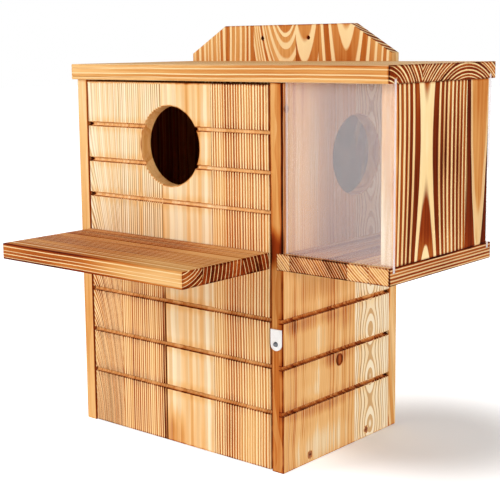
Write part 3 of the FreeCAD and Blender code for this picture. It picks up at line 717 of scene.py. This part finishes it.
# The feeder floor is let into the right side panel and carries the bin. Its grain
# runs from front to back, so its front shows end grain.
LYING_LENGTHWISE = (math.radians(-90.0), 0.0, 0.0)
FLOOR_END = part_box("feeder_floor")[1].x / MM
finish("feeder_floor", fir(
    "feeder_floor_fir", LYING_LENGTHWISE,
    [
        strip(138.0, (-70.0, 0.0), 2.2, line=0.5, torch=0.48, contrast=0.8, wander=1.0, uneven=0.2,
              seed=15.0),
        strip(199.0, (-60.0, 20.0), 2.3, line=0.4, torch=0.68, contrast=0.65, wander=1.0, uneven=0.2,
              seed=16.0),
        strip(220.0, (300.0, 300.0), 2.3, line=0.5, torch=0.41, contrast=0.8, wander=1.0, uneven=0.2,
              seed=17.0),
        strip(245.0, (320.0, 290.0), 2.2, line=0.5, torch=0.41, contrast=0.7, wander=1.0, uneven=0.3,
              seed=18.0),
    ],
    end_torch=0.06,
    marks=[
        arrises("feeder_floor", LYING_LENGTHWISE, 0.36, width=1.8),
        patch(FLOOR_END, 0.0, 2.5, 300.0, 0.4),
    ],
))

# The outer wall of the bin is the darkest board, burnt almost black between its rings.
# It stands on the feeder floor, between the ends of the two windows.
WALL_FACE = -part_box("feeder_outer_wall")[1].x / MM
finish("feeder_outer_wall", fir(
    "outer_wall_fir", UPRIGHT_RIGHT,
    [
        strip(28.5, (-37.0, WALL_FACE + 25.45), 5.46, line=0.46, torch=0.78, bow=(-0.00045, 301.5),
              wander=2.5, uneven=0.35, seed=19.0),
        strip(92.0, (51.5, -205.75), 5.68, line=0.32, torch=0.82, drift=(0.0, -0.036), wander=2.0,
              uneven=0.2, heart=(5.0, -0.39, 0.5), seed=20.0),
    ],
    marks=[
        arrises("feeder_outer_wall", UPRIGHT_RIGHT, 0.1),
        patch(-37.0, 301.0, 5.0, 30.0, -0.2),
        patch(-68.0, 290.0, 16.0, 200.0, -0.14),
        patch(-84.5, 280.0, 7.0, 700.0, -1.2, calm=1.3),
        patch(33.5, 220.0, 6.0, 150.0, -0.02, deep=WALL_FACE, calm=1.0),
        patch(52.0, 360.0, 24.0, 90.0, 0.2),
        patch(-2.0, 270.0, 16.0, 300.0, 0.08),
        patch(-10.0, 348.0, 100.0, 44.0, -0.16),
        patch(-10.0, 203.0, 100.0, 34.0, -0.16),
        patch(0.0, 280.0, 70.0, 40.0, 0.1),
        patch(46.0, 212.0, 14.0, 60.0, -0.26),
    ],
))

# The roof is one board over the nest and the bin, screwed down into the panels.
# Its end grain is burnt dark and its rings stand out as cream arcs.
ROOF_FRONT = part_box("roof_board")[0].y / MM
finish("roof_board", fir(
    "roof_fir", LYING_ACROSS,
    [
        strip(-45.0, (-97.0, 332.0), 3.7, line=0.38, torch=0.38, wander=3.0, seed=22.0),
        strip(92.0, (29.0, 296.0), 3.0, line=0.38, torch=0.36, wander=3.0, seed=23.0),
    ],
    end_torch=0.38,
    marks=[
        arrises("roof_board", LYING_ACROSS, 0.15),
        patch(ROOF_FRONT, 190.0, 5.0, 130.0, 0.05, deep=357.0, calm=0.2),
    ],
))

# The front door is glued from four strips and hangs between the side panels. The
# lower part of its two left strips is burnt more.
BAND_BLUR = (-0.6 * MM, 0.6 * MM)
BAND_TOP_BLUR = (-0.5 * MM, 30.0 * MM)
band, given, result = group(
    "strip_scorch", [("Vector", "Vector"), ("From", "Float"), ("To", "Float"), ("Top", "Float")],
    [("Darkening", "Float")])
across, _, along = split(band, given["Vector"])
begun = fade_in(band, calc(band, "SUBTRACT", across, given["From"]), *BAND_BLUR)
ended = fade_in(band, calc(band, "SUBTRACT", given["To"], across), *BAND_BLUR)
lower = fade_in(band, calc(band, "SUBTRACT", given["Top"], along), *BAND_TOP_BLUR)
feed(band, result["Darkening"], calc(band, "MULTIPLY", lower, calc(band, "MULTIPLY", begun, ended)))


def burnt_strip(start, end, top, amount):
    """A strip of a board that is burnt more up to a height, in millimetres."""
    return band, {"From": start * MM, "To": end * MM, "Top": top * MM}, amount, 0.0


UPPER_GROOVES = (236.5, 35.0)
ENTRANCE = (-4.0, 289.0)
DOOR_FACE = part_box("front_door")[0].y / MM
finish("front_door", fir(
    "door_fir", UPRIGHT_FRONT,
    [
        strip(-74.0, (-124.0, -37.0), 1.2, line=0.5, torch=0.12, contrast=1.1, wander=4.0,
              bow=(-0.00046, 340.0), uneven=0.4, seed=24.0),
        strip(-13.5, (70.0, -60.0), 2.7, line=0.5, torch=0.13, wander=3.0, uneven=0.3, seed=25.0),
        strip(48.5, (-60.0, -80.0), 11.0, line=0.5, torch=0.17, contrast=0.2, wander=10.0, seed=26.0),
        strip(132.0, (170.0, -70.0), 3.0, line=0.55, torch=0.53, wander=3.0, uneven=0.3, seed=27.0),
    ],
    marks=[
        arrises("front_door", UPRIGHT_FRONT, 0.3),
        burnt_strip(-132.0, -74.0, 190.0, 0.46),
        patch(-100.0, 20.0, 30.0, 60.0, 0.08),
        patch(-95.0, 290.0, 40.0, 150.0, -0.02, calm=0.75),
        patch(-116.0, 175.0, 4.0, 700.0, -0.22),
        patch(-44.0, 310.0, 40.0, 110.0, -0.06, calm=0.5),
        burnt_strip(-74.0, -13.5, 190.0, 0.39),
        patch(-36.0, 20.0, 36.0, 70.0, 0.08),
        patch(-17.0, 60.0, 5.0, 160.0, 0.22),
        patch(-14.2, 90.0, 2.2, 170.0, 0.4),
        patch(19.0, 175.0, 3.4, 500.0, 0.16),
        patch(33.5, 175.0, 3.4, 500.0, 0.14),
        patch(45.0, 175.0, 3.0, 500.0, 0.12),
        patch(-4.0, 6.0, 20.0, 40.0, 0.32),
        patch(85.0, 212.0, 44.0, 28.0, 0.08),
        patch(51.0, 300.0, 5.0, 90.0, 0.16),
        patch(62.0, 20.0, 22.0, 50.0, 0.13),
        patch(16.0, 20.0, 40.0, 60.0, 0.07),
        patch(114.0, 175.0, 7.0, 260.0, -0.2),
        grooves(LOWER_GROOVES, DOOR_FACE, level=0.96, floor_level=0.46),
        grooves(UPPER_GROOVES, DOOR_FACE, level=0.8, floor_level=0.28),
        bored(*ENTRANCE, HOLE_RADIUS, wall_level=0.37),
    # Painted shade where the upper grooves end in the gap beside the left side panel.
    ] + painted_shade_at_groove_ends(UPPER_GROOVES, -114.0, 5.0, 2.6, 0.9, deep=DOOR_FACE + 1.5, thick=5.0),
))

# The landing platform sticks out from the door below the entrance, screwed on from
# inside. It is glued from three strips, and its rings stand out most on its top.
PLATFORM_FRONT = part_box("landing_platform")[0].y / MM
PLATFORM_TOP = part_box("landing_platform")[1].z / MM
finish("landing_platform", fir(
    "platform_fir", LYING_ACROSS,
    [
        strip(-179.0, (-206.0, 225.0), 3.4, line=0.25, torch=0.52, wander=2.0, uneven=0.4, seed=28.0),
        strip(-127.0, (-242.0, 209.0), 4.7, line=0.2, torch=0.52, wander=1.5, uneven=0.3, seed=29.0),
        strip(-80.0, (-230.0, 160.0), 4.6, line=0.2, torch=0.6, wander=1.5, uneven=0.3, seed=30.0),
    ],
    end_torch=0.3,
    marks=[
        arrises("landing_platform", LYING_ACROSS, 0.12),
        patch(PLATFORM_FRONT, -60.0, 4.0, 170.0, 0.28),
        patch(PLATFORM_FRONT, 100.0, 4.0, 40.0, -0.05),
        patch(-148.0, 0.0, 400.0, 900.0, 0.1, deep=PLATFORM_TOP, thick=SKIN, calm=-2.2),
        patch(-148.0, 90.0, 400.0, 80.0, -0.12, deep=PLATFORM_TOP, thick=SKIN),
        patch(-108.0, 0.0, 24.0, 500.0, -0.06, deep=PLATFORM_TOP, thick=SKIN),
    ],
))

# The bin's two windows are sheets of clear acrylic that slide in slots. Their sawn
# edges are frosted, so they hide more than the faces do.
EDGE_HAZE = 0.7
FACE_HAZE = 0.18
FACE_START = (0.5, 0.9)
SHADOW_SHARE = 0.2
acrylic, acrylic_tree, acrylic_inputs = new_material("clear_acrylic")
facing = calc(acrylic_tree, "ABSOLUTE", split(
    acrylic_tree, add(acrylic_tree, "ShaderNodeTexCoord").outputs["Normal"])[1])
haze = calc(acrylic_tree, "MULTIPLY_ADD", fade_in(acrylic_tree, facing, *FACE_START),
            FACE_HAZE - EDGE_HAZE, EDGE_HAZE)
in_shadow = add(acrylic_tree, "ShaderNodeLightPath").outputs["Is Shadow Ray"]
feed_all(acrylic_tree, acrylic_inputs, {
    "Base Color": linear(241, 232, 233), "Roughness": 0.08, "Specular IOR Level": 0.2,
    "Alpha": calc(acrylic_tree, "MULTIPLY", haze, calc(
        acrylic_tree, "MULTIPLY_ADD", in_shadow, SHADOW_SHARE - 1.0, 1.0))})
for pane in ("front_window", "rear_window"):
    finish(pane, acrylic)

# The latch is a small plate in white enamel that turns on a plated screw and a washer,
# and its upper end swings across the door's edge.
DULL_SCALE = (300.0, 300.0, 300.0)
SPECK_SCALE = (1800.0, 1800.0, 1800.0)
SCRATCH_SCALE = (2600.0, 2600.0, 140.0)
DULL_CLOUDS = (0.5, 0.75)
DULL_SPECKS = (0.66, 0.74)
SCRATCH_ROUGHNESS = 0.18
handled, given, result = group(
    "handled_surface",
    [("Vector", "Vector"), ("Color", "Color"), ("Wear", "Float"), ("Roughness", "Float")],
    [("Color", "Color"), ("Roughness", "Float"), ("Height", "Float")])
dull = stretched_noise(handled, given["Vector"], DULL_SCALE, seed=2.0, detail=4.0)["Fac"]
specks = stretched_noise(handled, given["Vector"], SPECK_SCALE, seed=6.0)["Fac"]
scratches = stretched_noise(handled, given["Vector"], SCRATCH_SCALE, seed=9.0)["Fac"]
worn = calc(handled, "MULTIPLY", given["Wear"], calc(
    handled, "MAXIMUM", fade_in(handled, dull, *DULL_CLOUDS), fade_in(handled, specks, *DULL_SPECKS)))
feed_all(handled, result, {
    "Color": add(handled, "ShaderNodeVectorMath", {
        0: given["Color"], "Scale": calc(handled, "SUBTRACT", 1.0, worn)}, operation="SCALE").outputs[0],
    "Roughness": calc(handled, "MULTIPLY_ADD", scratches, SCRATCH_ROUGHNESS, calc(
        handled, "ADD", given["Roughness"], worn)),
    "Height": calc(handled, "MULTIPLY_ADD", scratches, 0.5, dull)})


def metal(title, colour, wear, roughness, metallic):
    """Plated, bronzed or enamelled steel, dulled and scratched a little by handling."""
    material, tree, inputs = new_material(title)
    surface = add(tree, "ShaderNodeGroup", None, node_tree=handled)
    feed_all(tree, surface.inputs, {
        "Vector": add(tree, "ShaderNodeTexCoord").outputs["Object"],
        "Color": colour, "Wear": wear, "Roughness": roughness})
    relief = add(tree, "ShaderNodeBump", {
        "Height": surface.outputs["Height"], "Strength": 0.3, "Distance": 0.05 * MM})
    feed_all(tree, inputs, {
        "Metallic": metallic, "Base Color": surface.outputs["Color"],
        "Roughness": surface.outputs["Roughness"], "Normal": relief.outputs[0]})
    return material


finish("latch_plate", metal("white_enamel", linear(250, 250, 248), wear=0.06, roughness=0.3, metallic=0.0))
plated = metal("plated_steel", linear(108, 110, 114), wear=0.4, roughness=0.3, metallic=1.0)
for node in ("latch_screw", "latch_washer"):
    finish(node, plated)

# The door swings on two bronzed steel pins. Each is driven through a side panel into
# the door's edge, near its top.
bronze = metal("bronzed_steel", linear(168, 104, 66), wear=0.4, roughness=0.34, metallic=0.85)
for node in ("door_pivot_left", "door_pivot_right"):
    finish(node, bronze)

# The screws are countersunk, with a cross recess, a thread and a point, all in bronzed
# steel. Each is driven in until its head is level with the board.
def joined(tree, x, y, z):
    """A vector from three numbers."""
    return add(tree, "ShaderNodeCombineXYZ", {0: x, 1: y, 2: z}).outputs[0]


def place_of_screw(corners):
    """One screw's head, the way it faces and its length, from the corners of its plain solid."""
    low = Vector(map(min, zip(*corners)))
    high = Vector(map(max, zip(*corners)))
    middle = (low + high) / 2.0
    size = high - low
    lengthwise = max(range(3), key=lambda way: size[way])
    sideways = Vector([0.0 if way == lengthwise else 1.0 for way in range(3)])
    widest = max(corners, key=lambda corner: ((corner - middle) * sideways).length)
    facing = Vector([0.0, 0.0, 0.0])
    facing[lengthwise] = math.copysign(1.0, widest[lengthwise] - middle[lengthwise])
    return middle + facing * size[lengthwise] / 2.0, facing, size[lengthwise]


def places_of_screws(nodes):
    """The same of every screw in some nodes of the frame."""
    found = []
    for node in nodes:
        plain = bmesh.new()
        plain.from_mesh(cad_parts[node].data)
        bmesh.ops.remove_doubles(plain, verts=plain.verts, dist=0.001 * MM)
        left = {corner.index: corner for corner in plain.verts}
        while left:
            shell = [left.pop(min(left))]
            for corner in shell:
                for edge in corner.link_edges:
                    other = edge.other_vert(corner)
                    if other.index in left:
                        shell.append(left.pop(other.index))
            found.append(place_of_screw([corner.co.copy() for corner in shell]))
        plain.free()
    return found


SCREW_SIZES = {
    "Head Radius": SCREW_HEAD * MM, "Head Depth": 2.0 * MM, "Core Radius": 1.05 * MM,
    "Thread Height": 0.44 * MM, "Thread Length": 24.0 * MM, "Thread Turns": 16.0,
    "Tip Length": 4.0 * MM, "Recess Length": 3.6 * MM, "Recess Width": 0.75 * MM,
    "Recess Depth": 1.1 * MM,
}
screw_tree, wanted, result = group(
    "countersunk_screws",
    [("Places", "Geometry")] + [(name, "Float") for name in SCREW_SIZES]
    + [("Seed", "Int"), ("Material", "Material")],
    [("Screws", "Geometry")], "GeometryNodeTree")
outward = add(screw_tree, "GeometryNodeInputNamedAttribute", {"Name": "facing"},
              data_type="FLOAT_VECTOR").outputs[0]
whole = add(screw_tree, "GeometryNodeInputNamedAttribute", {"Name": "reach"},
            data_type="FLOAT").outputs[0]
upright = add(screw_tree, "FunctionNodeAlignRotationToVector", {"Vector": outward}, axis="Z").outputs[0]
OVERLAP = 0.4 * MM
HEAD_SIDES = 32
CORE_SIDES = 20
THREAD_SIDES = 3
STEPS_PER_TURN = 12
TIP_SHARE = 0.98
SCREW_SEED = 7


def shifted(geometry, z):
    """A shape moved along the screw."""
    return add(screw_tree, "GeometryNodeTransform", {
        "Geometry": geometry, "Translation": joined(screw_tree, 0.0, 0.0, z)}).outputs[0]


def negative(value):
    """Minus a number."""
    return calc(screw_tree, "MULTIPLY", value, -1.0)


def set_out(shape, move, stretch=1.0):
    """A shape at each screw, moved inwards and stretched along it."""
    placed = add(screw_tree, "GeometryNodeInstanceOnPoints", {
        "Points": wanted["Places"], "Instance": shape, "Rotation": upright,
        "Scale": joined(screw_tree, 1.0, 1.0, stretch)}).outputs[0]
    return add(screw_tree, "GeometryNodeTranslateInstances", {
        "Instances": placed, "Translation": joined(screw_tree, 0.0, 0.0, negative(move))}).outputs[0]


head = add(screw_tree, "GeometryNodeMeshCone", {
    "Vertices": HEAD_SIDES, "Radius Top": wanted["Head Radius"], "Radius Bottom": wanted["Core Radius"],
    "Depth": wanted["Head Depth"]}).outputs["Mesh"]
head = shifted(head, negative(wanted["Head Depth"]))
slot_cutter = add(screw_tree, "GeometryNodeMeshCube", {"Size": joined(
    screw_tree, wanted["Recess Length"], wanted["Recess Width"],
    calc(screw_tree, "MULTIPLY", wanted["Recess Depth"], 2.0))}).outputs["Mesh"]
cross_cutter = add(screw_tree, "GeometryNodeTransform", {
    "Geometry": slot_cutter, "Rotation": (0.0, 0.0, math.radians(90.0))}).outputs[0]
recessed = add(screw_tree, "GeometryNodeMeshBoolean", {"Mesh 1": head},
               operation="DIFFERENCE", solver="EXACT")
for cutter in (slot_cutter, cross_cutter):
    screw_tree.links.new(cutter, recessed.inputs["Mesh 2"])
heads = add(screw_tree, "GeometryNodeRotateInstances", {
    "Instances": set_out(recessed.outputs["Mesh"], 0.0),
    "Rotation": joined(screw_tree, 0.0, 0.0, add(screw_tree, "FunctionNodeRandomValue", {
        2: 0.0, 3: math.tau, "Seed": wanted["Seed"]}).outputs[1])}).outputs[0]
core = add(screw_tree, "GeometryNodeMeshCylinder", {
    "Vertices": CORE_SIDES, "Radius": wanted["Core Radius"],
    "Depth": wanted["Thread Length"]}).outputs["Mesh"]
core = shifted(core, calc(screw_tree, "MULTIPLY", wanted["Thread Length"], -0.5))
helix = add(screw_tree, "GeometryNodeCurveSpiral", {
    "Resolution": STEPS_PER_TURN, "Rotations": wanted["Thread Turns"],
    "Start Radius": wanted["Core Radius"], "End Radius": wanted["Core Radius"],
    "Height": wanted["Thread Length"]}).outputs[0]
profile = add(screw_tree, "GeometryNodeCurvePrimitiveCircle", {
    "Resolution": THREAD_SIDES, "Radius": wanted["Thread Height"]}).outputs["Curve"]
thread = add(screw_tree, "GeometryNodeCurveToMesh", {
    "Curve": helix, "Profile Curve": profile, "Fill Caps": True}).outputs[0]
thread = shifted(thread, negative(wanted["Thread Length"]))
shank = add(screw_tree, "GeometryNodeJoinGeometry")
for shape in (core, thread):
    screw_tree.links.new(shape, shank.inputs[0])
neck = calc(screw_tree, "SUBTRACT", wanted["Head Depth"], OVERLAP)
to_tip = calc(screw_tree, "SUBTRACT", whole, wanted["Tip Length"])
shanks = set_out(shank.outputs[0], neck, calc(
    screw_tree, "DIVIDE", calc(screw_tree, "SUBTRACT", to_tip, neck), wanted["Thread Length"]))
tip = add(screw_tree, "GeometryNodeMeshCone", {
    "Vertices": CORE_SIDES, "Radius Bottom": 0.0,
    "Radius Top": calc(screw_tree, "MULTIPLY", wanted["Core Radius"], TIP_SHARE),
    "Depth": calc(screw_tree, "ADD", wanted["Tip Length"], OVERLAP)}).outputs["Mesh"]
tips = set_out(tip, whole)
every_screw = add(screw_tree, "GeometryNodeJoinGeometry")
for shapes in (heads, shanks, tips):
    screw_tree.links.new(shapes, every_screw.inputs[0])
solid = add(screw_tree, "GeometryNodeRealizeInstances", {0: every_screw.outputs[0]}).outputs[0]
feed(screw_tree, result["Screws"], add(screw_tree, "GeometryNodeSetMaterial", {
    "Geometry": solid, "Material": wanted["Material"]}).outputs[0])


def drive_screws(title, body, nodes):
    """All the screws of one body, in place of the frame's plain ones."""
    places = places_of_screws(nodes)
    points = bpy.data.meshes.new(title + "_places")
    points.from_pydata([place for place, _, _ in places], [], [])
    for name, kind, field, column in (
            ("facing", "FLOAT_VECTOR", "vector", 1), ("reach", "FLOAT", "value", 2)):
        attribute = points.attributes.new(name, kind, "POINT")
        for item, place in zip(attribute.data, places):
            setattr(item, field, place[column])
    holder = bpy.data.objects.new(title + "_places", points)
    bpy.context.scene.collection.objects.link(holder)
    modifier = holder.modifiers.new("screws", "NODES")
    modifier.node_group = screw_tree
    values = dict(SCREW_SIZES, Seed=SCREW_SEED, Material=bronze)
    for socket in screw_tree.interface.items_tree:
        if socket.in_out == "INPUT" and socket.name in values:
            modifier[socket.identifier] = values[socket.name]
    depsgraph = bpy.context.evaluated_depsgraph_get()
    mesh = bpy.data.meshes.new_from_object(holder.evaluated_get(depsgraph), depsgraph=depsgraph)
    bpy.data.objects.remove(holder)
    mesh.materials.clear()
    mesh.materials.append(bronze)
    mesh.polygons.foreach_set("material_index", [0] * len(mesh.polygons))
    piece = bpy.data.objects.new(title, mesh)
    bpy.context.scene.collection.objects.link(piece)
    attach(piece, body)
    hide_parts(*nodes)


drive_screws("box_wood_screws", "box", (
    "roof_screws", "back_screws", "floor_screws", "feeder_floor_screws", "feeder_wall_screws"))
drive_screws("platform_wood_screws", "door", ("platform_screws",))
